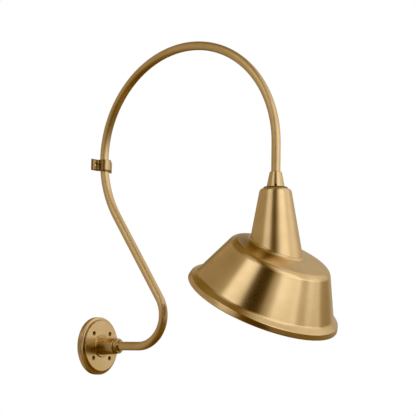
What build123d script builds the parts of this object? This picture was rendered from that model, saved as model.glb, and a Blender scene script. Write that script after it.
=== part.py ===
from build123d import *
from math import cos, radians, sin, tan
import os

# Gooseneck wall sconce. Millimetres and degrees, +X out of the wall, +Z up.
# The origin is the centre of the wall plate's back face, on the wall.

# Wall plate
plate_radius = 63.5
plate_rim_depth = 9.5
plate_step_radius = 58.8
plate_step_x = 11.2
plate_face_radius = 55.4
plate_depth = 16.5
plate_lip_wall = 3.0
plate_rim_wall = 7.0
plate_face_wall = 4.5
plate_rim_fillet = 1.6
plate_step_fillet = 2.4
plate_face_fillet = 1.2
plate_hole_count = 4
plate_hole_turn = 45.0
plate_hole_circle = 76.2
plate_hole_radius = 2.6
plate_sink_radius = 4.9
plate_boss_radius = 7.0

# Gasket and earth screw behind the plate
gasket_depth = 2.5
earth_place = 38.0
earth_boss_radius = 4.5
earth_boss_depth = 6.0
earth_screw_radius = 2.1
earth_head_radius = 4.2
earth_head_height = 3.0
earth_slot_width = 1.2
earth_slot_depth = 1.4

# Gooseneck arm: tube, lower bend, slanting leg, arch and drop
tube_radius = 9.525
tube_wall = 1.5
tube_start_x = 3.6
lower_bend_x = 120.6
lower_bend_radius = 66.3
leg_lean = 34.2
arch_back_x = 10.0
arch_radius = 231.1
drop_length = 59.9
fit_gap = 0.05

# Hub on the wall plate
flange_radius = 25.4
flange_depth = 2.6
flange_chamfer = 1.0
hub_radius = 19.6
hub_nose_radius = 17.4
hub_length = 39.6
hub_nose_fillet = 1.4
hub_groove_radius = 14.6
hub_groove_length = 1.8
bead_radius = 16.8
bead_length = 6.2
collar_radius = 12.9
collar_end_radius = 10.8
collar_length = 4.4
set_screw_radius = 2.4
set_screw_sink = 0.8
hex_key_radius = 1.4
hex_key_depth = 3.0
hub_screw_place = 24.0
lock_nut_width = 30.0
lock_nut_depth = 5.0
lock_washer_radius = 17.0
lock_washer_depth = 1.3

# Wall strap round the back of the arch
strap_drop = 14.6
strap_height = 25.0
strap_width = 66.4
strap_thickness = 4.8
strap_band = 4.4
strap_side_gap = 0.2
strap_front_gap = 1.7
strap_corner = 2.2
strap_screw_spacing = 40.0
strap_hole_radius = 2.6
strap_sink_radius = 4.9

# Fitter at the arm's end
fitter_top_radius = 12.6
fitter_base_radius = 18.9
fitter_height = 32.1
fitter_socket_depth = 18.0
fitter_chamfer = 1.0
fitter_screw_height = 3.2
fitter_screw_angle = -56.0
neck_gasket_radius = 24.8
neck_gasket_depth = 2.5

# Nipple that carries the shade, with its washer and nut
nipple_radius = 6.6
nipple_bore = 4.6
nipple_in_fitter = 11.5
nipple_end = 1.0
washer_radius = 15.0
washer_depth = 1.2
nut_width = 22.0
nut_depth = 4.5

# Shade: upright neck, tilted bowl
shade_wall = 1.2
neck_top_radius = 32.2
neck_half_angle = 10.2
neck_shoulder = 9.0
neck_length = 172.2
neck_mouth_inset = 5.0
shade_swing = 11.1
shade_tilt = 28.5
crown_height = 51.7
crown_radius = 105.5
crown_fall = 10.6
crown_bore = 10.0
crown_fillet = 17.0
side_splay = 42.7
side_height = 91.9
flare_fillet = 10.8
flare_width = 12.3
flare_height = 7.9
lip_splay = 3.1
lip_height = 12.1
lip_fillet = 3.0
hem_width = 5.4
hem_height = 5.0
hem_fillet = 2.2

# Lampholder
cap_radius = 18.0
cap_height = 14.0
cap_wall = 1.2
cap_roof = 3.0
cap_chamfer = 1.5
holder_radius = 18.5
holder_flange_radius = 20.0
holder_flange_depth = 5.6
holder_flange_chamfer = 1.2
holder_length = 40.6
holder_spigot = 8.0
shell_radius = 13.9
shell_wall = 0.55
shell_length = 24.0
shell_inset = 2.0
contact_space = 5.0
contact_width = 6.0
contact_thickness = 0.5
contact_reach = 9.0
contact_bend = 3.0
contact_drop = 4.0
contact_tip_reach = 4.5
contact_tip_curl = 1.0
terminal_radius = 2.6
terminal_height = 1.6
terminal_slot_width = 0.9
terminal_slot_depth = 0.8
terminal_drop = 22.0

# Sides of a hexagon, and how near two lengths are when they count as the same
hex_sides = 6
match = 0.01

# Places worked out from the sizes above
tube_bore = tube_radius + fit_gap
hub_base_x = plate_depth
hub_body_x = hub_base_x + flange_depth
hub_nose_x = hub_body_x + hub_length
bead_x = hub_nose_x + hub_groove_length
collar_x = bead_x + bead_length
collar_end_x = collar_x + collar_length
cavity_front_x = plate_depth - plate_face_wall
lean_cos = cos(radians(leg_lean))
lean_sin = sin(radians(leg_lean))
both_bends = lower_bend_radius + arch_radius
leg_length = (lower_bend_x + both_bends * lean_cos - arch_radius - arch_back_x) / lean_sin
arch_centre_z = lower_bend_radius + leg_length * lean_cos + both_bends * lean_sin
neck_x = arch_back_x + 2 * arch_radius
fitter_top_z = arch_centre_z - drop_length
fitter_base_z = fitter_top_z - fitter_height
tube_end_z = fitter_top_z - fitter_socket_depth
neck_top_z = fitter_base_z - neck_gasket_depth
neck_under_z = neck_top_z - shade_wall
washer_base_z = neck_under_z - washer_depth
nut_base_z = washer_base_z - nut_depth
bowl_centre_z = neck_top_z - neck_length
cap_base_z = nut_base_z - cap_height
holder_base_z = cap_base_z - holder_length
shell_top_z = holder_base_z + shell_inset + shell_length
strap_z = arch_centre_z - strap_drop
strap_outer_radius = tube_radius + strap_side_gap + strap_band

# Planes and axes that several pieces share
neck_plane = Plane((neck_x, 0, 0), x_dir=(1, 0, 0), z_dir=(0, -1, 0))
neck_axis = Axis((neck_x, 0, 0), (0, 0, 1))
swing_dir = Vector(1, 0, 0).rotate(Axis.Z, -shade_swing)
bowl_up = swing_dir * sin(radians(shade_tilt)) + Vector(0, 0, cos(radians(shade_tilt)))
bowl_back = Vector(0, 0, sin(radians(shade_tilt))) - swing_dir * cos(radians(shade_tilt))
bowl_centre = Vector(neck_x, 0, bowl_centre_z)
bowl_plane = Plane(bowl_centre, x_dir=bowl_back, z_dir=bowl_back.cross(bowl_up))
bowl_axis = Axis(bowl_centre, bowl_up)

os.makedirs("parts", exist_ok=True)

# ---------------------------------------------------------------- wall plate
with BuildPart() as wall_plate:
    with BuildSketch(Plane.XZ):
        with BuildLine():
            outside = FilletPolyline(
                (0, plate_radius),
                (plate_rim_depth, plate_radius),
                (plate_step_x, plate_step_radius),
                (plate_depth, plate_face_radius),
                (plate_depth, tube_bore),
                radius=(plate_rim_fillet, plate_step_fillet, plate_face_fillet),
            )
            Polyline(
                outside @ 1,
                (cavity_front_x, tube_bore),
                (cavity_front_x, plate_face_radius - plate_lip_wall),
                (gasket_depth, plate_radius - plate_rim_wall),
                (gasket_depth, plate_radius - plate_lip_wall),
                (0, plate_radius - plate_lip_wall),
                outside @ 0,
            )
        make_face()
    revolve(axis=Axis.X)
    with BuildSketch(Plane.YZ):
        with PolarLocations(plate_hole_circle / 2, plate_hole_count, start_angle=plate_hole_turn):
            Circle(plate_boss_radius)
    extrude(amount=cavity_front_x)
    with BuildSketch(Plane.YZ.offset(cavity_front_x)):
        with Locations((0, -earth_place)):
            Circle(earth_boss_radius)
    extrude(amount=-earth_boss_depth)
    with BuildSketch(Plane.YZ.offset(cavity_front_x - earth_boss_depth)):
        with Locations((0, -earth_place)):
            Circle(earth_screw_radius + fit_gap)
    extrude(amount=earth_boss_depth, mode=Mode.SUBTRACT)
    with Locations(Plane.YZ.offset(plate_depth)):
        with PolarLocations(plate_hole_circle / 2, plate_hole_count, start_angle=plate_hole_turn):
            CounterSinkHole(plate_hole_radius, plate_sink_radius, depth=plate_depth)
wall_plate.part.label = "wall_plate"
export_step(wall_plate.part, "parts/wall_plate.step")

with BuildPart() as plate_gasket:
    with BuildSketch(Plane.YZ):
        Circle(plate_radius - plate_lip_wall - fit_gap)
        Circle(plate_radius - plate_rim_wall, mode=Mode.SUBTRACT)
    extrude(amount=gasket_depth)
plate_gasket.part.label = "plate_gasket"
export_step(plate_gasket.part, "parts/plate_gasket.step")

earth_seat_x = cavity_front_x - earth_boss_depth
with BuildPart() as earth_screw:
    with BuildSketch(Plane.YZ.offset(earth_seat_x)):
        with Locations((0, -earth_place)):
            Circle(earth_screw_radius)
    extrude(amount=earth_boss_depth)
    with BuildSketch(Plane.YZ.offset(earth_seat_x)):
        with Locations((0, -earth_place)):
            RegularPolygon(earth_head_radius, hex_sides)
    extrude(amount=-earth_head_height)
    with BuildSketch(Plane.YZ.offset(earth_seat_x - earth_head_height)):
        with Locations((0, -earth_place)):
            Rectangle(2 * earth_head_radius, earth_slot_width)
    extrude(amount=earth_slot_depth, mode=Mode.SUBTRACT)
earth_screw.part.label = "earth_screw"
export_step(earth_screw.part, "parts/earth_screw.step")

# ----------------------------------------------------------------- arm's hub
hub_screw_x = hub_body_x + hub_screw_place
hub_screw_plane = Plane((hub_screw_x, 0, 0), x_dir=(1, 0, 0), z_dir=(0, 1, 0))

with BuildPart() as arm_hub:
    with BuildSketch(Plane.XZ):
        with BuildLine():
            body_side = FilletPolyline(
                (hub_body_x, hub_radius),
                (hub_nose_x, hub_nose_radius),
                (hub_nose_x, hub_groove_radius),
                radius=hub_nose_fillet,
            )
            groove = Line(body_side @ 1, (bead_x, hub_groove_radius))
            bead = ThreePointArc(
                groove @ 1,
                ((bead_x + collar_x) / 2, bead_radius),
                (collar_x, hub_groove_radius),
            )
            Polyline(
                bead @ 1,
                (collar_x, collar_radius),
                (collar_end_x, collar_end_radius),
                (collar_end_x, tube_bore),
                (hub_base_x, tube_bore),
                (hub_base_x, flange_radius),
                (hub_body_x - flange_chamfer, flange_radius),
                (hub_body_x, flange_radius - flange_chamfer),
                body_side @ 0,
            )
        make_face()
    revolve(axis=Axis.X)
    with BuildSketch(hub_screw_plane):
        Circle(set_screw_radius + fit_gap)
    extrude(amount=flange_radius, mode=Mode.SUBTRACT)
arm_hub.part.label = "arm_hub"
export_step(arm_hub.part, "parts/arm_hub.step")

hub_slope = (hub_radius - hub_nose_radius) / hub_length
hub_screw_end = hub_radius - hub_slope * hub_screw_place - set_screw_sink
with BuildPart() as hub_set_screw:
    with BuildSketch(hub_screw_plane.offset(tube_bore)):
        Circle(set_screw_radius)
    extrude(amount=hub_screw_end - tube_bore)
    with BuildSketch(hub_screw_plane.offset(hub_screw_end)):
        RegularPolygon(hex_key_radius, hex_sides)
    extrude(amount=-hex_key_depth, mode=Mode.SUBTRACT)
hub_set_screw.part.label = "hub_set_screw"
export_step(hub_set_screw.part, "parts/hub_set_screw.step")

# ------------------------------------------------------------ gooseneck tube
with BuildLine(Plane.XZ) as arm_line:
    stub = Line((tube_start_x, 0), (lower_bend_x, 0))
    lower_bend = JernArc(stub @ 1, stub % 1, lower_bend_radius, 90 + leg_lean)
    leg = PolarLine(lower_bend @ 1, leg_length, direction=lower_bend % 1)
    arch = JernArc(leg @ 1, leg % 1, arch_radius, -(180 + leg_lean))
    Line(arch @ 1, Vector(neck_x, 0, tube_end_z))

with BuildPart() as gooseneck_tube:
    with BuildSketch(Plane.YZ.offset(tube_start_x)):
        Circle(tube_radius)
        Circle(tube_radius - tube_wall, mode=Mode.SUBTRACT)
    sweep(path=arm_line.wire())
gooseneck_tube.part.label = "gooseneck_tube"
export_step(gooseneck_tube.part, "parts/gooseneck_tube.step")

with BuildPart() as tube_lock_washer:
    with BuildSketch(Plane.YZ.offset(cavity_front_x)):
        Circle(lock_washer_radius)
        Circle(tube_bore, mode=Mode.SUBTRACT)
    extrude(amount=-lock_washer_depth)
tube_lock_washer.part.label = "tube_lock_washer"
export_step(tube_lock_washer.part, "parts/tube_lock_washer.step")

with BuildPart() as tube_lock_nut:
    with BuildSketch(Plane.YZ.offset(cavity_front_x - lock_washer_depth)):
        RegularPolygon(lock_nut_width / 2, hex_sides, major_radius=False)
        Circle(tube_bore, mode=Mode.SUBTRACT)
    extrude(amount=-lock_nut_depth)
tube_lock_nut.part.label = "tube_lock_nut"
export_step(tube_lock_nut.part, "parts/tube_lock_nut.step")

# ---------------------------------------------------------------- wall strap
saddle_radius = tube_radius + strap_side_gap
saddle_x = arch_back_x + strap_front_gap - strap_side_gap
with BuildPart() as wall_strap:
    with BuildSketch(Plane.XY.offset(strap_z - strap_height / 2)) as strap_section:
        with Locations((strap_thickness / 2, 0)):
            Rectangle(strap_thickness, strap_width)
        with Locations((saddle_x / 2, 0)):
            Rectangle(saddle_x, 2 * strap_outer_radius)
        with Locations((saddle_x, 0)):
            Circle(strap_outer_radius)
        inner_corners = strap_section.vertices().filter_by(
            lambda v: abs(v.X - strap_thickness) < match and abs(abs(v.Y) - strap_outer_radius) < match
        )
        fillet(inner_corners, strap_corner)
        with Locations((saddle_x / 2, 0)):
            Rectangle(saddle_x, 2 * saddle_radius, mode=Mode.SUBTRACT)
        with Locations((saddle_x, 0)):
            Circle(saddle_radius, mode=Mode.SUBTRACT)
        split(bisect_by=Plane.YZ)
    extrude(amount=strap_height)
    with Locations(Plane.YZ.offset(strap_thickness)):
        with Locations((-strap_screw_spacing / 2, strap_z), (strap_screw_spacing / 2, strap_z)):
            CounterSinkHole(strap_hole_radius, strap_sink_radius, depth=strap_thickness)
wall_strap.part.label = "wall_strap"
export_step(wall_strap.part, "parts/wall_strap.step")

# -------------------------------------------------------------------- fitter
fitter_screw_z = fitter_base_z + fitter_screw_height
fitter_screw_dir = Vector(1, 0, 0).rotate(Axis.Z, fitter_screw_angle)
fitter_screw_plane = Plane((neck_x, 0, fitter_screw_z), x_dir=(0, 0, 1), z_dir=fitter_screw_dir)
nipple_hole = nipple_radius + fit_gap

with BuildPart() as shade_fitter:
    with BuildSketch(neck_plane):
        with BuildLine():
            Polyline(
                (tube_bore, fitter_top_z),
                (fitter_top_radius - fitter_chamfer, fitter_top_z),
                (fitter_top_radius, fitter_top_z - fitter_chamfer),
                (fitter_base_radius, fitter_base_z),
                (nipple_hole, fitter_base_z),
                (nipple_hole, tube_end_z),
                (tube_bore, tube_end_z),
                close=True,
            )
        make_face()
    revolve(axis=neck_axis)
    with BuildSketch(fitter_screw_plane):
        Circle(set_screw_radius + fit_gap)
    extrude(amount=fitter_base_radius, mode=Mode.SUBTRACT)
shade_fitter.part.label = "shade_fitter"
export_step(shade_fitter.part, "parts/shade_fitter.step")

fitter_slope = (fitter_base_radius - fitter_top_radius) / fitter_height
fitter_flank = fitter_base_radius - fitter_slope * (fitter_screw_height + set_screw_radius)
fitter_screw_end = fitter_flank - set_screw_sink
with BuildPart() as fitter_set_screw:
    with BuildSketch(fitter_screw_plane.offset(nipple_hole)):
        Circle(set_screw_radius)
    extrude(amount=fitter_screw_end - nipple_hole)
    with BuildSketch(fitter_screw_plane.offset(fitter_screw_end)):
        RegularPolygon(hex_key_radius, hex_sides)
    extrude(amount=-hex_key_depth, mode=Mode.SUBTRACT)
fitter_set_screw.part.label = "fitter_set_screw"
export_step(fitter_set_screw.part, "parts/fitter_set_screw.step")

with BuildPart() as neck_gasket:
    with BuildSketch(Plane.XY.offset(neck_top_z)):
        with Locations((neck_x, 0)):
            Circle(neck_gasket_radius)
            Circle(nipple_hole, mode=Mode.SUBTRACT)
    extrude(amount=neck_gasket_depth)
neck_gasket.part.label = "neck_gasket"
export_step(neck_gasket.part, "parts/neck_gasket.step")

nipple_top_z = fitter_base_z + nipple_in_fitter
nipple_base_z = nut_base_z - cap_roof - nipple_end
with BuildPart() as shade_nipple:
    with BuildSketch(Plane.XY.offset(nipple_base_z)):
        with Locations((neck_x, 0)):
            Circle(nipple_radius)
            Circle(nipple_bore, mode=Mode.SUBTRACT)
    extrude(amount=nipple_top_z - nipple_base_z)
shade_nipple.part.label = "shade_nipple"
export_step(shade_nipple.part, "parts/shade_nipple.step")

with BuildPart() as neck_washer:
    with BuildSketch(Plane.XY.offset(washer_base_z)):
        with Locations((neck_x, 0)):
            Circle(washer_radius)
            Circle(nipple_hole, mode=Mode.SUBTRACT)
    extrude(amount=washer_depth)
neck_washer.part.label = "neck_washer"
export_step(neck_washer.part, "parts/neck_washer.step")

with BuildPart() as neck_nut:
    with BuildSketch(Plane.XY.offset(nut_base_z)):
        with Locations((neck_x, 0)):
            RegularPolygon(nut_width / 2, hex_sides, major_radius=False)
            Circle(nipple_hole, mode=Mode.SUBTRACT)
    extrude(amount=nut_depth)
neck_nut.part.label = "neck_nut"
export_step(neck_nut.part, "parts/neck_nut.step")

# --------------------------------------------------------------------- shade
neck_foot_radius = neck_top_radius + neck_length * tan(radians(neck_half_angle))
crown_edge = (crown_radius, crown_height - crown_fall)
crown_start = (crown_bore, crown_height - crown_fall * crown_bore / crown_radius)
side_foot = (crown_radius + side_splay, crown_edge[1] - side_height)
flare_edge = (side_foot[0] + flare_width, side_foot[1] - flare_height)
lip_foot = (flare_edge[0] + lip_splay, flare_edge[1] - lip_height)
hem_edge = (lip_foot[0] - hem_width, lip_foot[1])
hem_end = (hem_edge[0], hem_edge[1] + hem_height)

with BuildPart() as bowl_space:
    with BuildSketch(bowl_plane):
        with BuildLine():
            bowl_side = FilletPolyline(
                (0, crown_height),
                crown_edge,
                side_foot,
                flare_edge,
                radius=(crown_fillet, flare_fillet),
            )
            Polyline(bowl_side @ 1, (0, flare_edge[1]), bowl_side @ 0)
        make_face()
    revolve(axis=bowl_axis)

with BuildPart() as shade_neck:
    with BuildSketch(neck_plane):
        with BuildLine():
            neck_side = FilletPolyline(
                (nipple_hole, neck_top_z),
                (neck_top_radius, neck_top_z),
                (neck_foot_radius, bowl_centre_z),
                radius=neck_shoulder,
            )
            offset(neck_side, shade_wall, side=Side.RIGHT)
        make_face()
    revolve(axis=neck_axis)
    add(bowl_space.part, mode=Mode.SUBTRACT)
shade_neck.part.label = "shade_neck"
export_step(shade_neck.part, "parts/shade_neck.step")

with BuildPart() as shade_bowl:
    with BuildSketch(bowl_plane):
        with BuildLine():
            bowl_skin = FilletPolyline(
                crown_start,
                crown_edge,
                side_foot,
                flare_edge,
                lip_foot,
                hem_edge,
                hem_end,
                radius=(crown_fillet, flare_fillet, lip_fillet, hem_fillet, hem_fillet),
            )
            offset(bowl_skin, shade_wall, side=Side.LEFT)
        make_face()
    revolve(axis=bowl_axis)
    with BuildSketch(Plane.XY.offset(bowl_centre_z)):
        with Locations((neck_x, 0)):
            Circle(neck_foot_radius - neck_mouth_inset)
    extrude(amount=neck_length, taper=neck_half_angle, mode=Mode.SUBTRACT)
shade_bowl.part.label = "shade_bowl"
export_step(shade_bowl.part, "parts/shade_bowl.step")

# --------------------------------------------------------------- lampholder
with BuildPart() as socket_cap:
    with BuildSketch(neck_plane):
        with BuildLine():
            Polyline(
                (nipple_hole, nut_base_z),
                (cap_radius - cap_chamfer, nut_base_z),
                (cap_radius, nut_base_z - cap_chamfer),
                (cap_radius, cap_base_z),
                (cap_radius - cap_wall, cap_base_z),
                (cap_radius - cap_wall, nut_base_z - cap_roof),
                (nipple_hole, nut_base_z - cap_roof),
                close=True,
            )
        make_face()
    revolve(axis=neck_axis)
socket_cap.part.label = "socket_cap"
export_step(socket_cap.part, "parts/socket_cap.step")

spigot_radius = cap_radius - cap_wall - fit_gap
holder_roof_z = shell_top_z + contact_space
with BuildPart() as socket_body:
    with BuildSketch(neck_plane):
        with BuildLine():
            Polyline(
                (0, cap_base_z + holder_spigot),
                (spigot_radius, cap_base_z + holder_spigot),
                (spigot_radius, cap_base_z),
                (holder_flange_radius, cap_base_z),
                (holder_flange_radius, cap_base_z - holder_flange_depth),
                (holder_radius, cap_base_z - holder_flange_depth),
                (holder_radius, holder_base_z),
                (shell_radius + fit_gap, holder_base_z),
                (shell_radius + fit_gap, holder_roof_z),
                (0, holder_roof_z),
                close=True,
            )
        make_face()
    revolve(axis=neck_axis)
    flange_edges = socket_body.edges().filter_by(GeomType.CIRCLE).filter_by(
        lambda e: abs(e.radius - holder_flange_radius) < match
    )
    chamfer(flange_edges, holder_flange_chamfer)
socket_body.part.label = "socket_body"
export_step(socket_body.part, "parts/socket_body.step")

with BuildPart() as screw_shell:
    with BuildSketch(Plane.XY.offset(shell_top_z - shell_length)):
        with Locations((neck_x, 0)):
            Circle(shell_radius)
            Circle(shell_radius - shell_wall, mode=Mode.SUBTRACT)
    extrude(amount=shell_length)
screw_shell.part.label = "screw_shell"
export_step(screw_shell.part, "parts/screw_shell.step")

with BuildPart() as centre_contact:
    with BuildSketch(neck_plane):
        with BuildLine():
            strip = Polyline(
                (-contact_reach, holder_roof_z),
                (-contact_bend, holder_roof_z),
                (contact_bend, holder_roof_z - contact_drop),
                (contact_tip_reach, holder_roof_z - contact_drop + contact_tip_curl),
            )
            offset(strip, contact_thickness, side=Side.RIGHT)
        make_face()
    extrude(amount=contact_width / 2, both=True)
centre_contact.part.label = "centre_contact"
export_step(centre_contact.part, "parts/centre_contact.step")

terminal_z = cap_base_z - terminal_drop
with BuildPart() as terminal_screws:
    for turn in (0, 180):
        seat_dir = Vector(1, 0, 0).rotate(Axis.Z, turn)
        seat = Plane(Vector(neck_x, 0, terminal_z) + seat_dir * holder_radius, z_dir=seat_dir)
        with BuildSketch(seat):
            Circle(terminal_radius)
        extrude(amount=terminal_height)
        with BuildSketch(seat.offset(terminal_height)):
            Rectangle(2 * terminal_radius, terminal_slot_width)
        extrude(amount=-terminal_slot_depth, mode=Mode.SUBTRACT)
terminal_screws.part.label = "terminal_screws"
export_step(terminal_screws.part, "parts/terminal_screws.step")
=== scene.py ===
from math import cos, pi, radians, sin, tan

import bpy
from mathutils import Matrix, Vector


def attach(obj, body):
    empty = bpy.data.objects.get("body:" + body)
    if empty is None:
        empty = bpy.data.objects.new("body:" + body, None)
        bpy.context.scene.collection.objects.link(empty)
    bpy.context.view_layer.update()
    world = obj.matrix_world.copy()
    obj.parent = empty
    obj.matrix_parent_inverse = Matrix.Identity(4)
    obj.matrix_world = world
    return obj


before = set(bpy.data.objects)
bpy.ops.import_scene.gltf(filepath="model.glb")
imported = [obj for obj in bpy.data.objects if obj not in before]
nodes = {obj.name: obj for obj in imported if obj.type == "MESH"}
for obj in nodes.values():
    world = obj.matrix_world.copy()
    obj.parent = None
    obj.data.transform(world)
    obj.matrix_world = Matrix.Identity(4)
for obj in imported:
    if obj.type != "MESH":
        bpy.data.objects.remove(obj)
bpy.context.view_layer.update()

# ------------------------------------------------------------------ camera
# The photo's view, in the row frame: metres, and degrees turned from +X and above the horizon.
IMAGE_SIZE = 416
SENSOR_WIDTH = 36.0
VIEW_TURN = 53.87
VIEW_RISE = -6.47
VIEW_ROLL = 0.94
VIEW_DISTANCE = 3.1178
VIEW_END = 100.0
PIXELS_PER_METRE = 449.7
PLATE_PIXEL = (96.29, 345.88)

# Blue channel of the view's curve, as (value in, value out): the darkest blues are held down.
BLUE_CHANNEL = 2
BLUE_POINTS = ((0.010, 0.0045), (0.045, 0.040))


def view_axes():
    """Right, up and backward directions of the camera."""
    turn, rise, roll = radians(VIEW_TURN), radians(VIEW_RISE), radians(VIEW_ROLL)
    back = Vector((cos(turn) * cos(rise), -sin(turn) * cos(rise), sin(rise)))
    level = Vector((sin(turn), cos(turn), 0))
    upright = back.cross(level)
    right = level * cos(roll) + upright * sin(roll)
    up = upright * cos(roll) - level * sin(roll)
    return right, up, back


def add_camera():
    """Camera that puts the wall plate's centre on its pixel, with no shift."""
    right, up, back = view_axes()
    off_right = (PLATE_PIXEL[0] - IMAGE_SIZE / 2) / PIXELS_PER_METRE
    off_down = (PLATE_PIXEL[1] - IMAGE_SIZE / 2) / PIXELS_PER_METRE
    place = back * VIEW_DISTANCE - right * off_right + up * off_down
    data = bpy.data.cameras.new("camera")
    data.sensor_width = SENSOR_WIDTH
    data.lens = PIXELS_PER_METRE * VIEW_DISTANCE * SENSOR_WIDTH / IMAGE_SIZE
    data.clip_end = VIEW_END
    camera = bpy.data.objects.new("camera", data)
    turn = Matrix((right, up, back)).transposed().to_4x4()
    camera.matrix_world = Matrix.Translation(place) @ turn
    bpy.context.scene.collection.objects.link(camera)
    bpy.context.scene.camera = camera


def add_view():
    """Plain view transform, with the blue of the deepest tones held down as in the photo."""
    view = bpy.context.scene.view_settings
    view.view_transform = "Standard"
    view.use_curve_mapping = True
    curve = view.curve_mapping.curves[BLUE_CHANNEL]
    for value_in, value_out in BLUE_POINTS:
        curve.points.new(value_in, value_out)
    view.curve_mapping.update()


# -------------------------------------------------------------- node helpers
class Graph:
    """Short calls for building a node tree."""

    def __init__(self, tree):
        self.tree = tree
        self.tree.nodes.clear()

    def set(self, socket, value):
        """Link an output to a socket, or write a value on it."""
        if isinstance(value, bpy.types.NodeSocket):
            self.tree.links.new(value, socket)
        else:
            socket.default_value = value

    def add(self, kind, settings=None, **inputs):
        """New node; inputs go by socket name, with _ for a space."""
        node = self.tree.nodes.new(kind)
        for key, value in (settings or {}).items():
            setattr(node, key, value)
        for key, value in inputs.items():
            self.set(node.inputs[key.replace("_", " ")], value)
        return node

    def math(self, operation, *values):
        """Output of a maths node."""
        node = self.tree.nodes.new("ShaderNodeMath")
        node.operation = operation
        for socket, value in zip(node.inputs, values):
            self.set(socket, value)
        return node.outputs[0]

    def vector(self, operation, *values):
        """Vector output of a vector maths node, or its value where it gives a number."""
        node = self.tree.nodes.new("ShaderNodeVectorMath")
        node.operation = operation
        for socket, value in zip(node.inputs, values):
            self.set(socket, value)
        return node.outputs["Value" if operation in ("DOT_PRODUCT", "LENGTH") else "Vector"]

    def scaled(self, vector, factor):
        """Vector times a number."""
        node = self.tree.nodes.new("ShaderNodeVectorMath")
        node.operation = "SCALE"
        self.set(node.inputs[0], vector)
        self.set(node.inputs["Scale"], factor)
        return node.outputs["Vector"]

    def gap(self, value, centre):
        """Distance of a value from a centre, never negative."""
        return self.math("ABSOLUTE", self.math("SUBTRACT", value, centre))

    def step(self, value, start, end, low=0.0, high=1.0):
        """Smooth step from low at start to high at end."""
        node = self.add(
            "ShaderNodeMapRange",
            {"interpolation_type": "SMOOTHSTEP"},
            Value=value,
            From_Min=start,
            From_Max=end,
            To_Min=low,
            To_Max=high,
        )
        return node.outputs[0]

    def ramp(self, factor, stops):
        """Colour ramp with (position, colour) stops."""
        node = self.tree.nodes.new("ShaderNodeValToRGB")
        elements = node.color_ramp.elements
        while len(elements) < len(stops):
            elements.new(0.5)
        for element, (position, colour) in zip(elements, stops):
            element.position = position
            element.color = (*colour, 1)
        self.tree.links.new(factor, node.inputs[0])
        return node.outputs[0]

    def mix(self, factor, first, second):
        """Colour between two others."""
        node = self.tree.nodes.new("ShaderNodeMix")
        node.data_type = "RGBA"
        colours = [socket for socket in node.inputs if socket.type == "RGBA"]
        self.set(node.inputs[0], factor)
        self.set(colours[0], first)
        self.set(colours[1], second)
        return [socket for socket in node.outputs if socket.type == "RGBA"][0]


# --------------------------------------------------------------------- light
# The studio's brightness is a tone: one for the floor, one for the walls, and between them a soft
# step over this range of degrees above the horizon.
FLOOR_TONE = 0.15
WALL_TONE = 0.33
FLOOR_END = -20.0
WALL_START = 0.0

# Soft boxes, and dark flags below zero, that add to the tone round the object, as seen from it:
# (centre turned from +X, centre above the horizon, half width, half height, soft edge) in
# degrees, and the tone.
PANELS = {
    "key_box": (-16, 4, 20, 11, 7, 0.54),
    "key_middle_box": (-12, 20, 20, 13, 12, 0.22),
    "key_side_box": (15, 6, 18, 9, 8, 0.30),
    "key_high_box": (-12, 36, 18, 9, 12, 0.42),
    "far_box": (22, 37, 64, 30, 12, 0.34),
    "far_low_box": (36, 1, 16, 7, 8, 0.34),
    "far_middle_box": (41, 17, 10, 18, 10, 0.12),
    "far_flag": (74, 14, 14, 12, 22, -0.12),
    "side_box": (110, 18, 22, 17, 12, 0.14),
    "side_high_box": (94, 45, 13, 11, 8, 0.14),
    "near_box": (-96, 33, 17, 6, 10, 0.88),
    "near_low_box": (-96, 17, 17, 9, 10, 0.36),
    "near_high_box": (-102, 57, 26, 17, 14, 0.14),
    "camera_flag": (-65, 16, 14, 11, 10, -0.55),
    "camera_high_flag": (-62, 35, 15, 13, 10, -0.10),
    "camera_ceiling": (-52, 50, 24, 16, 12, -0.20),
    "front_ceiling": (-34, 70, 22, 12, 12, -0.12),
    "camera_body": (-62, -10, 24, 14, 10, -0.22),
    "back_ceiling": (180, 56, 68, 13, 12, -0.14),
    "ceiling": (180, 80, 180, 12, 14, -0.12),
    "corner_high_flag": (116, 45, 11, 10, 6, -0.10),
    "corner_flag": (143, -5, 8, 35, 12, -0.10),
    "wall_floor": (-150, -30, 45, 25, 20, 0.18),
    "floor": (0, -75, 110, 25, 20, -0.06),
}

# Colour of the light at each tone: warm in the shadows and nearly white in the boxes.
TONE_COLOURS = (
    (0.00, (0.02, 0.005, 0.000)),
    (0.10, (0.10, 0.046, 0.000)),
    (0.21, (0.21, 0.146, 0.060)),
    (0.35, (0.35, 0.292, 0.206)),
    (0.58, (0.58, 0.529, 0.447)),
    (1.00, (1.00, 0.990, 0.970)),
    (1.40, (1.40, 1.390, 1.370)),
)
BRIGHTEST = TONE_COLOURS[-1][0]


def panel_weight(graph, turn, rise, centre_turn, centre_rise, half_width, half_height, edge):
    """Soft-edged rectangle in degrees of turn and rise, 1 inside and 0 outside."""
    offset = graph.math("WRAP", graph.math("SUBTRACT", turn, centre_turn), 180, -180)
    across = graph.math("ABSOLUTE", offset)
    along = graph.gap(rise, centre_rise)
    sides = []
    for distance, half in ((across, half_width), (along, half_height)):
        sides.append(graph.step(distance, half - edge / 2, half + edge / 2, 1.0, 0.0))
    return graph.math("MULTIPLY", sides[0], sides[1])


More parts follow.
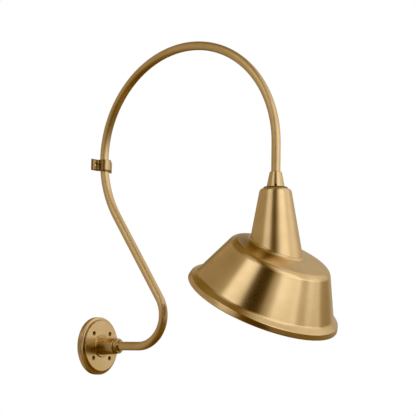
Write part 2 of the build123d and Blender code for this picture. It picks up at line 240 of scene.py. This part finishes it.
def add_light():
    """White behind the object, and a soft studio of panels for everything that it reflects."""
    world = bpy.data.worlds.new("studio")
    bpy.context.scene.world = world
    world.use_nodes = True
    graph = Graph(world.node_tree)
    direction = graph.add("ShaderNodeTexCoord").outputs["Generated"]
    east, north, up = graph.add("ShaderNodeSeparateXYZ", Vector=direction).outputs
    turn = graph.math("MULTIPLY", graph.math("ARCTAN2", north, east), 180 / pi)
    rise = graph.math("MULTIPLY", graph.math("ARCSINE", up), 180 / pi)
    tone = graph.step(rise, FLOOR_END, WALL_START, FLOOR_TONE, WALL_TONE)
    for *window, panel_tone in PANELS.values():
        weight = panel_weight(graph, turn, rise, *window)
        tone = graph.math("MULTIPLY_ADD", weight, panel_tone, tone)
    # A colour ramp holds positions and colours from 0 to 1, so both are divided by the brightest.
    stops = []
    for level, colour in TONE_COLOURS:
        stops.append((level / BRIGHTEST, [part / BRIGHTEST for part in colour]))
    colour = graph.ramp(graph.math("DIVIDE", tone, BRIGHTEST), stops)
    studio = graph.add("ShaderNodeBackground", Color=colour, Strength=BRIGHTEST)
    backdrop = graph.add("ShaderNodeBackground", Color=(1, 1, 1, 1), Strength=1.0)
    mix = graph.add("ShaderNodeMixShader")
    graph.set(mix.inputs[0], graph.add("ShaderNodeLightPath").outputs["Is Camera Ray"])
    graph.set(mix.inputs[1], studio.outputs[0])
    graph.set(mix.inputs[2], backdrop.outputs[0])
    graph.add("ShaderNodeOutputWorld", Surface=mix.outputs[0])


# -------------------------------------------------------------------- places
# Where the CAD has the axes that the pieces were turned or spun about, in metres and degrees.
WORLD_X = Vector((1, 0, 0))
WORLD_Y = Vector((0, 1, 0))
WORLD_Z = Vector((0, 0, 1))
SHADE_SWING = 11.1
SHADE_TILT = 28.5
NECK_X = 0.4722
NECK_ANGLE = 10.2
NECK_FOOT_RADIUS = 0.06318
CROWN_HEIGHT = 0.0517
CROWN_SLOPE = 0.1005
PLATE_CENTRE = Vector((0, 0, 0))
NECK_AXIS = Vector((NECK_X, 0, 0))
BOWL_CENTRE = Vector((NECK_X, 0, 0.15139))
ARCH_CENTRE = Vector((0.2411, 0, 0.41809))
BOWL_UP = Vector(
    (
        sin(radians(SHADE_TILT)) * cos(radians(SHADE_SWING)),
        -sin(radians(SHADE_TILT)) * sin(radians(SHADE_SWING)),
        cos(radians(SHADE_TILT)),
    )
)

# Screw holes: the plate's four are this far from both of its middle lines, and the strap's two
# this far from the arm's plane, at the strap's height.
PLATE_HOLE_PLACE = 0.02694
PLATE_HOLE_RADIUS = 0.0046
STRAP_HEIGHT = 0.40349
STRAP_HOLE_PLACE = 0.020
STRAP_HOLE_RADIUS = 0.0050


def object_place(graph):
    """Point of the surface, in the piece's own frame."""
    return graph.add("ShaderNodeTexCoord").outputs["Object"]


def place_parts(graph):
    """Separate x, y and z of a point, in the piece's own frame."""
    return graph.add("ShaderNodeSeparateXYZ", Vector=object_place(graph)).outputs


def round_axis(graph, origin, axis):
    """Height along an axis, distance from it and direction out of it, in the piece's own frame."""
    offset = graph.vector("SUBTRACT", object_place(graph), origin)
    height = graph.vector("DOT_PRODUCT", offset, axis)
    flat = graph.vector("SUBTRACT", offset, graph.scaled(tuple(axis), height))
    return height, graph.vector("LENGTH", flat), graph.vector("NORMALIZE", flat)


# ------------------------------------------------------------------- painted shade
# Colour of painted shade: a warm dark brown laid over the brass where shade falls.
PAINTED_SHADE_COLOUR = (0.30, 0.17, 0.06, 1)

# Each range is (start, end) of a soft step in metres; each amount is the share of painted shade.
# A screw hole's countersink gets painted shade within its radius, and less and less over its edge.
HOLE_EDGE = 0.0012
HOLE_AMOUNT = 0.8

# The crown gets painted shade near the neck, on the side that faces this way. That side's
# range is of the product of the two directions, 1 straight towards it.
SEAM_SIDE = (-0.34, -0.94, 0.0)
SEAM_SIDE_RANGE = (0.1, 0.7)
SEAM_GAP_RANGE = (0.012, 0.045)
SEAM_AMOUNT = 0.72

# The plate gets painted shade beside the hub, a painted reflection of the hub: beyond so much
# across, and within so much of its height.
HUB_ACROSS_RANGE = (0.014, 0.030)
HUB_LEVEL_RANGE = (0.008, 0.026)
HUB_AMOUNT = 0.45

# The strap's painted shade: its lower and upper edges, the ends of its ears, and the bends at
# the ears' feet.
STRAP_LOWER_RANGE = (-0.0105, -0.0095)
STRAP_UPPER_RANGE = (0.0112, 0.0120)
STRAP_END_RANGE = (0.0312, 0.0322)
STRAP_BEND_PLACE = 0.0147
STRAP_BEND_RANGE = (0.0016, 0.0030)
STRAP_EDGE_AMOUNT = 0.95
STRAP_CREASE_AMOUNT = 0.6


def hole_painted_shade(graph, across, upright, radius):
    """Painted shade in the countersink of a screw hole, from the distances to its centre."""
    upright_squared = graph.math("MULTIPLY", upright, upright)
    gap = graph.math("SQRT", graph.math("MULTIPLY_ADD", across, across, upright_squared))
    return graph.step(gap, radius, radius + HOLE_EDGE, HOLE_AMOUNT, 0.0)


def plate_painted_shade(graph):
    """Painted shade in the wall plate's four countersinks and on both sides of the hub."""
    _, across, upright = place_parts(graph)
    sides = [graph.math("ABSOLUTE", part) for part in (across, upright)]
    beside = graph.step(sides[0], *HUB_ACROSS_RANGE)
    level = graph.step(sides[1], *HUB_LEVEL_RANGE, HUB_AMOUNT, 0.0)
    offsets = [graph.math("SUBTRACT", side, PLATE_HOLE_PLACE) for side in sides]
    holes = hole_painted_shade(graph, *offsets, PLATE_HOLE_RADIUS)
    return graph.math("MAXIMUM", holes, graph.math("MULTIPLY", beside, level))


def strap_painted_shade(graph):
    """Painted shade along the strap's edges and bends, and in its two countersinks."""
    _, across, upright = place_parts(graph)
    side = graph.math("ABSOLUTE", across)
    above = graph.math("SUBTRACT", upright, STRAP_HEIGHT)
    bend_gap = graph.gap(side, STRAP_BEND_PLACE)
    hole_offset = graph.math("SUBTRACT", side, STRAP_HOLE_PLACE)
    marks = [
        graph.step(above, *STRAP_LOWER_RANGE, STRAP_EDGE_AMOUNT, 0.0),
        graph.step(above, *STRAP_UPPER_RANGE, 0.0, STRAP_CREASE_AMOUNT),
        graph.step(side, *STRAP_END_RANGE, 0.0, STRAP_EDGE_AMOUNT),
        graph.step(bend_gap, *STRAP_BEND_RANGE, STRAP_CREASE_AMOUNT, 0.0),
        hole_painted_shade(graph, hole_offset, above, STRAP_HOLE_RADIUS),
    ]
    painted_shade = marks[0]
    for mark in marks[1:]:
        painted_shade = graph.math("MAXIMUM", painted_shade, mark)
    return painted_shade


def seam_painted_shade(graph):
    """Painted shade on the crown, on one side of the soldered seam."""
    height, distance, out = round_axis(graph, BOWL_CENTRE, WORLD_Z)
    slope = -tan(radians(NECK_ANGLE))
    neck_radius = graph.math("MULTIPLY_ADD", height, slope, NECK_FOOT_RADIUS)
    gap = graph.math("SUBTRACT", distance, neck_radius)
    side = graph.step(graph.vector("DOT_PRODUCT", out, SEAM_SIDE), *SEAM_SIDE_RANGE)
    near = graph.step(gap, *SEAM_GAP_RANGE, SEAM_AMOUNT, 0.0)
    return graph.math("MULTIPLY", side, near)


# ----------------------------------------------------------------- materials
# Tones as (darker, lighter): spun sheet and tube, and the castings. The castings' tones are a
# darker copy of the same brass, painted shade on the hub and the strap.
SHEET_TONES = ((0.90, 0.655, 0.345, 1), (0.97, 0.725, 0.405, 1))
CAST_SHADED_TONES = ((0.60, 0.43, 0.21, 1), (0.72, 0.53, 0.28, 1))

# Clouds between the two tones: their size in metres, and the noise values that they lie between.
BRASS_CLOUD = 0.045
BRASS_CLOUD_RANGE = (0.32, 0.68)
MOTTLE_RANGE = (0.3, 0.7)

# Brush marks: how far they reach round the axis in radians, and how wide they are in metres.
RING_REACH = 0.5
RING_WIDTH = 0.0012
FINE_RING_WIDTH = 0.0006
TUBE_REACH = 0.05
TUBE_WIDTH = 0.003
STRAP_MARK_SCALE = (120.0, 120.0, 1400.0)

# What the marks do: they spread the roughness by so much, and stand out by a share of a depth.
MARK_SPREAD = 0.08
MARK_STRENGTH = 0.02
BUMP_DEPTH = 0.0002

# Grain of the plain finishes, as a share of the size of their mottling.
GRAIN_SHARE = 0.25


def new_material(name):
    """Material with an empty graph."""
    material = bpy.data.materials.new(name)
    material.use_nodes = True
    return material, Graph(material.node_tree)


def cloud(graph, size):
    """Soft noise from 0 to 1 with features of a size in metres."""
    noise = graph.add(
        "ShaderNodeTexNoise",
        Vector=object_place(graph),
        Scale=1 / size,
        Detail=3.0,
        Roughness=0.5,
    )
    return noise.outputs["Fac"]


def spread(graph, noise, amount, middle):
    """Noise from 0 to 1 turned into a value that varies by an amount round a middle."""
    return graph.math("MULTIPLY_ADD", graph.math("SUBTRACT", noise, 0.5), amount, middle)


def brush_marks(graph, out, height, distance, reach, width):
    """Noise drawn out round an axis: marks reach so far in radians, and are so wide in metres."""
    stretched = graph.vector(
        "ADD",
        graph.scaled(out, 1 / reach),
        graph.scaled((0.0, 0.0, 1.0), graph.math("DIVIDE", height, width)),
    )
    noise = graph.add(
        "ShaderNodeTexNoise",
        {"noise_dimensions": "4D"},
        Vector=stretched,
        W=graph.math("DIVIDE", distance, width),
        Scale=1.0,
        Detail=2.0,
        Roughness=0.6,
    )
    return noise.outputs["Fac"]


def to_world(graph, vector):
    """Direction in the piece's own frame, as the shader wants it."""
    node = graph.add(
        "ShaderNodeVectorTransform",
        {"vector_type": "VECTOR", "convert_from": "OBJECT", "convert_to": "WORLD"},
    )
    graph.set(node.inputs[0], vector)
    return node.outputs[0]


def brass_shader(graph, marks, tangent, tones, roughness, anisotropic, painted_shade=None):
    """Satin brass: brushed, with faint clouds between two tones, and painted shade where asked."""
    colour = graph.mix(graph.step(cloud(graph, BRASS_CLOUD), *BRASS_CLOUD_RANGE), *tones)
    # Painted shade: the brass is mixed towards a dark brown where a shade mask is given.
    if painted_shade is not None:
        colour = graph.mix(painted_shade, colour, PAINTED_SHADE_COLOUR)
    bump = graph.add(
        "ShaderNodeBump", Strength=MARK_STRENGTH, Distance=BUMP_DEPTH, Height=marks
    )
    shader = graph.add(
        "ShaderNodeBsdfPrincipled",
        Base_Color=colour,
        Metallic=1.0,
        Roughness=spread(graph, marks, MARK_SPREAD, roughness),
        Anisotropic=anisotropic,
        Tangent=tangent,
        Normal=bump.outputs[0],
    )
    graph.add("ShaderNodeOutputMaterial", Surface=shader.outputs[0])


def spun_brass(
    name,
    origin,
    axis,
    roughness,
    anisotropic,
    width=RING_WIDTH,
    tones=SHEET_TONES,
    painted_shade=None,
):
    """Brass turned or spun about an axis: rings of fine marks, with highlights across them."""
    material, graph = new_material(name)
    height, distance, out = round_axis(graph, origin, axis)
    marks = brush_marks(graph, out, height, distance, RING_REACH, width)
    tangent = to_world(graph, graph.vector("SUBTRACT", out, tuple(axis)))
    # Mask of painted shade, where one is given.
    painted_shade_mask = painted_shade(graph) if painted_shade else None
    brass_shader(graph, marks, tangent, tones, roughness, anisotropic, painted_shade_mask)
    return material


def tube_brass():
    """Brass of the bent tube: soft marks over it, and highlights spread round it."""
    material, graph = new_material("tube_brass")
    height, distance, out = round_axis(graph, ARCH_CENTRE, WORLD_Y)
    marks = brush_marks(graph, out, height, distance, TUBE_REACH, TUBE_WIDTH)
    normal = graph.add("ShaderNodeNewGeometry").outputs["Normal"]
    along = graph.vector("CROSS_PRODUCT", normal, tuple(WORLD_Y))
    # A small step keeps the direction along the tube from vanishing where the normal is sideways.
    along = graph.vector("ADD", along, (0.001, 0.0, 0.001))
    tangent = graph.vector("CROSS_PRODUCT", along, normal)
    brass_shader(graph, marks, tangent, SHEET_TONES, roughness=0.39, anisotropic=0.7)
    return material


def strap_brass():
    """Strap's cast brass: darker tones, brushed along its length, painted shade at its edges."""
    material, graph = new_material("strap_brass")
    stretched = graph.vector("MULTIPLY", object_place(graph), STRAP_MARK_SCALE)
    noise = graph.add("ShaderNodeTexNoise", Vector=stretched, Scale=1.0, Detail=2.0)
    brass_shader(
        graph,
        noise.outputs["Fac"],
        tuple(WORLD_Z),
        CAST_SHADED_TONES,
        roughness=0.28,
        anisotropic=0.4,
        # Painted shade along the edges and bends and in the countersinks.
        painted_shade=strap_painted_shade(graph),
    )
    return material


def plain_finish(name, colours, size, roughness, variation, metallic=0.0, bump=0.0, **sockets):
    """Mottled finish between two colours, with roughness that varies round a middle."""
    material, graph = new_material(name)
    mottle = cloud(graph, size)
    ends = [(*colour, 1) for colour in colours]
    grain = graph.add(
        "ShaderNodeBump",
        Strength=bump,
        Distance=BUMP_DEPTH,
        Height=cloud(graph, size * GRAIN_SHARE),
    )
    shader = graph.add(
        "ShaderNodeBsdfPrincipled",
        Base_Color=graph.mix(graph.step(mottle, *MOTTLE_RANGE), *ends),
        Metallic=metallic,
        Roughness=spread(graph, mottle, variation, roughness),
        Normal=grain.outputs[0],
        **sockets,
    )
    graph.add("ShaderNodeOutputMaterial", Surface=shader.outputs[0])
    return material


def give_finish(name, material):
    """Put one material on a CAD node."""
    mesh = nodes[name].data
    mesh.materials.clear()
    mesh.materials.append(material)


def add_brass():
    """Give each brass piece of the arm and the shade a finish of its own."""
    finishes = {
        "wall_plate": spun_brass(
            "plate_brass",
            PLATE_CENTRE,
            WORLD_X,
            roughness=0.28,
            anisotropic=0.3,
            # Painted shade in the countersinks and beside the hub.
            painted_shade=plate_painted_shade,
        ),
        # The hub's cast tones are a darker copy of the brass: painted shade.
        "arm_hub": spun_brass(
            "hub_brass",
            PLATE_CENTRE,
            WORLD_X,
            roughness=0.22,
            anisotropic=0.5,
            width=FINE_RING_WIDTH,
            tones=CAST_SHADED_TONES,
        ),
        "gooseneck_tube": tube_brass(),
        "wall_strap": strap_brass(),
        "shade_fitter": spun_brass(
            "fitter_brass",
            NECK_AXIS,
            WORLD_Z,
            roughness=0.34,
            anisotropic=0.6,
            width=FINE_RING_WIDTH,
        ),
        "shade_neck": spun_brass(
            "neck_brass", NECK_AXIS, WORLD_Z, roughness=0.31, anisotropic=0.5
        ),
        "shade_bowl": spun_brass(
            "bowl_brass",
            BOWL_CENTRE,
            BOWL_UP,
            roughness=0.22,
            anisotropic=0.3,
            # Painted shade on the crown beside the seam.
            painted_shade=seam_painted_shade,
        ),
    }
    for name, material in finishes.items():
        give_finish(name, material)


def add_fittings():
    """Give the gaskets, fasteners and lampholder their finishes."""
    rubber = plain_finish(
        "rubber",
        ((0.120, 0.082, 0.034), (0.190, 0.130, 0.058)),
        size=0.004,
        roughness=0.62,
        variation=0.2,
        bump=0.3,
    )
    green = plain_finish(
        "earth_green",
        ((0.02, 0.16, 0.05), (0.04, 0.24, 0.08)),
        size=0.002,
        roughness=0.38,
        variation=0.2,
        bump=0.1,
    )
    black = plain_finish(
        "dark_steel",
        ((0.055, 0.040, 0.024), (0.095, 0.070, 0.042)),
        size=0.0015,
        roughness=0.42,
        variation=0.2,
        metallic=1.0,
        bump=0.1,
    )
    zinc = plain_finish(
        "zinc_steel",
        ((0.55, 0.56, 0.57), (0.70, 0.71, 0.72)),
        size=0.006,
        roughness=0.34,
        variation=0.25,
        metallic=1.0,
        bump=0.15,
    )
    porcelain = plain_finish(
        "porcelain",
        ((0.80, 0.79, 0.75), (0.86, 0.85, 0.82)),
        size=0.012,
        roughness=0.12,
        variation=0.06,
        bump=0.05,
        Coat_Weight=0.6,
    )
    contact = plain_finish(
        "socket_brass",
        ((0.80, 0.60, 0.28), (0.92, 0.72, 0.38)),
        size=0.003,
        roughness=0.25,
        variation=0.2,
        metallic=1.0,
        bump=0.1,
    )
    finishes = (
        (rubber, ("plate_gasket", "neck_gasket")),
        (green, ("earth_screw",)),
        (black, ("hub_set_screw", "fitter_set_screw")),
        (zinc, ("tube_lock_washer", "tube_lock_nut", "shade_nipple")),
        (zinc, ("neck_washer", "neck_nut", "socket_cap")),
        (porcelain, ("socket_body",)),
        (contact, ("screw_shell", "centre_contact", "terminal_screws")),
    )
    for material, names in finishes:
        for name in names:
            give_finish(name, material)


# ---------------------------------------------------------------------- seam
# The fillet's legs, how deep its hidden corner sits, and how finely it is divided.
SEAM_LEG = 0.0055
SEAM_DEPTH = 0.0003
SEAM_STEPS = 160
SEAM_BANDS = 8

# Rounds that find the neck's foot on the crown, and the reach up the neck that gives its slope.
FOOT_ROUNDS = 12
SLOPE_REACH = 0.01


def crown_gap(place):
    """Height of a point above the crown's outer face, along the bowl's axis."""
    offset = place - BOWL_CENTRE
    height = offset.dot(BOWL_UP)
    return height - CROWN_HEIGHT + CROWN_SLOPE * (offset - BOWL_UP * height).length


def neck_point(angle, height):
    """Point of the neck's outer face, at a height above the bowl's centre."""
    radius = NECK_FOOT_RADIUS - height * tan(radians(NECK_ANGLE))
    return BOWL_CENTRE + Vector((radius * cos(angle), radius * sin(angle), height))


def seam_ring(angle):
    """Section of the fillet at an angle: a hollow curve from neck to crown, and a hidden corner."""
    height = CROWN_HEIGHT
    for _ in range(FOOT_ROUNDS):
        height -= crown_gap(neck_point(angle, height)) / BOWL_UP.z
    corner = neck_point(angle, height)
    upward = (neck_point(angle, height + SLOPE_REACH) - corner).normalized()
    outward = Vector((cos(angle), sin(angle), 0))
    crown_normal = BOWL_UP + CROWN_SLOPE * outward
    crown_normal.normalize()
    outward = (outward - crown_normal * outward.dot(crown_normal)).normalized()
    ring = []
    for band in range(SEAM_BANDS + 1):
        share = band / SEAM_BANDS
        ring.append(
            corner + upward * SEAM_LEG * (1 - share) ** 2 + outward * SEAM_LEG * share ** 2
        )
    ring.append(corner - (upward + outward) * SEAM_DEPTH)
    return ring


def add_seam():
    """Soldered fillet along the seam where the neck stands on the crown."""
    points = []
    for step in range(SEAM_STEPS):
        points += seam_ring(2 * pi * step / SEAM_STEPS)
    count = SEAM_BANDS + 2
    faces = []
    for step in range(SEAM_STEPS):
        here, there = step * count, (step + 1) % SEAM_STEPS * count
        for band in range(count):
            after = (band + 1) % count
            faces.append((here + band, here + after, there + after, there + band))
    mesh = bpy.data.meshes.new("neck_seam")
    mesh.from_pydata(points, [], faces)
    mesh.validate()
    for face in mesh.polygons:
        face.use_smooth = True
    seam = bpy.data.objects.new("neck_seam", mesh)
    bpy.context.scene.collection.objects.link(seam)
    mesh.materials.append(
        spun_brass("seam_brass", NECK_AXIS, WORLD_Z, roughness=0.24, anisotropic=0.3)
    )
    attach(seam, "shade")


# --------------------------------------------------------------------- floor
FLOOR_DROP = 3.4
FLOOR_HALF = 5.0


def add_floor():
    """Pale floor, so far below the object that it stays out of the photo's view."""
    mesh = bpy.data.meshes.new("floor")
    corners = []
    for x, y in ((-1, -1), (1, -1), (1, 1), (-1, 1)):
        corners.append((x * FLOOR_HALF, y * FLOOR_HALF, -FLOOR_DROP))
    mesh.from_pydata(corners, [], [(0, 1, 2, 3)])
    floor = bpy.data.objects.new("floor", mesh)
    bpy.context.scene.collection.objects.link(floor)
    material, graph = new_material("floor")
    shader = graph.add(
        "ShaderNodeBsdfPrincipled",
        Base_Color=(0.86, 0.86, 0.85, 1),
        Roughness=0.8,
        Emission_Color=(1.0, 0.99, 0.97, 1),
        Emission_Strength=0.45,
    )
    graph.add("ShaderNodeOutputMaterial", Surface=shader.outputs[0])
    mesh.materials.append(material)
    floor.visible_glossy = False


add_camera()
add_light()
add_brass()
add_fittings()
add_seam()
add_floor()
add_view()
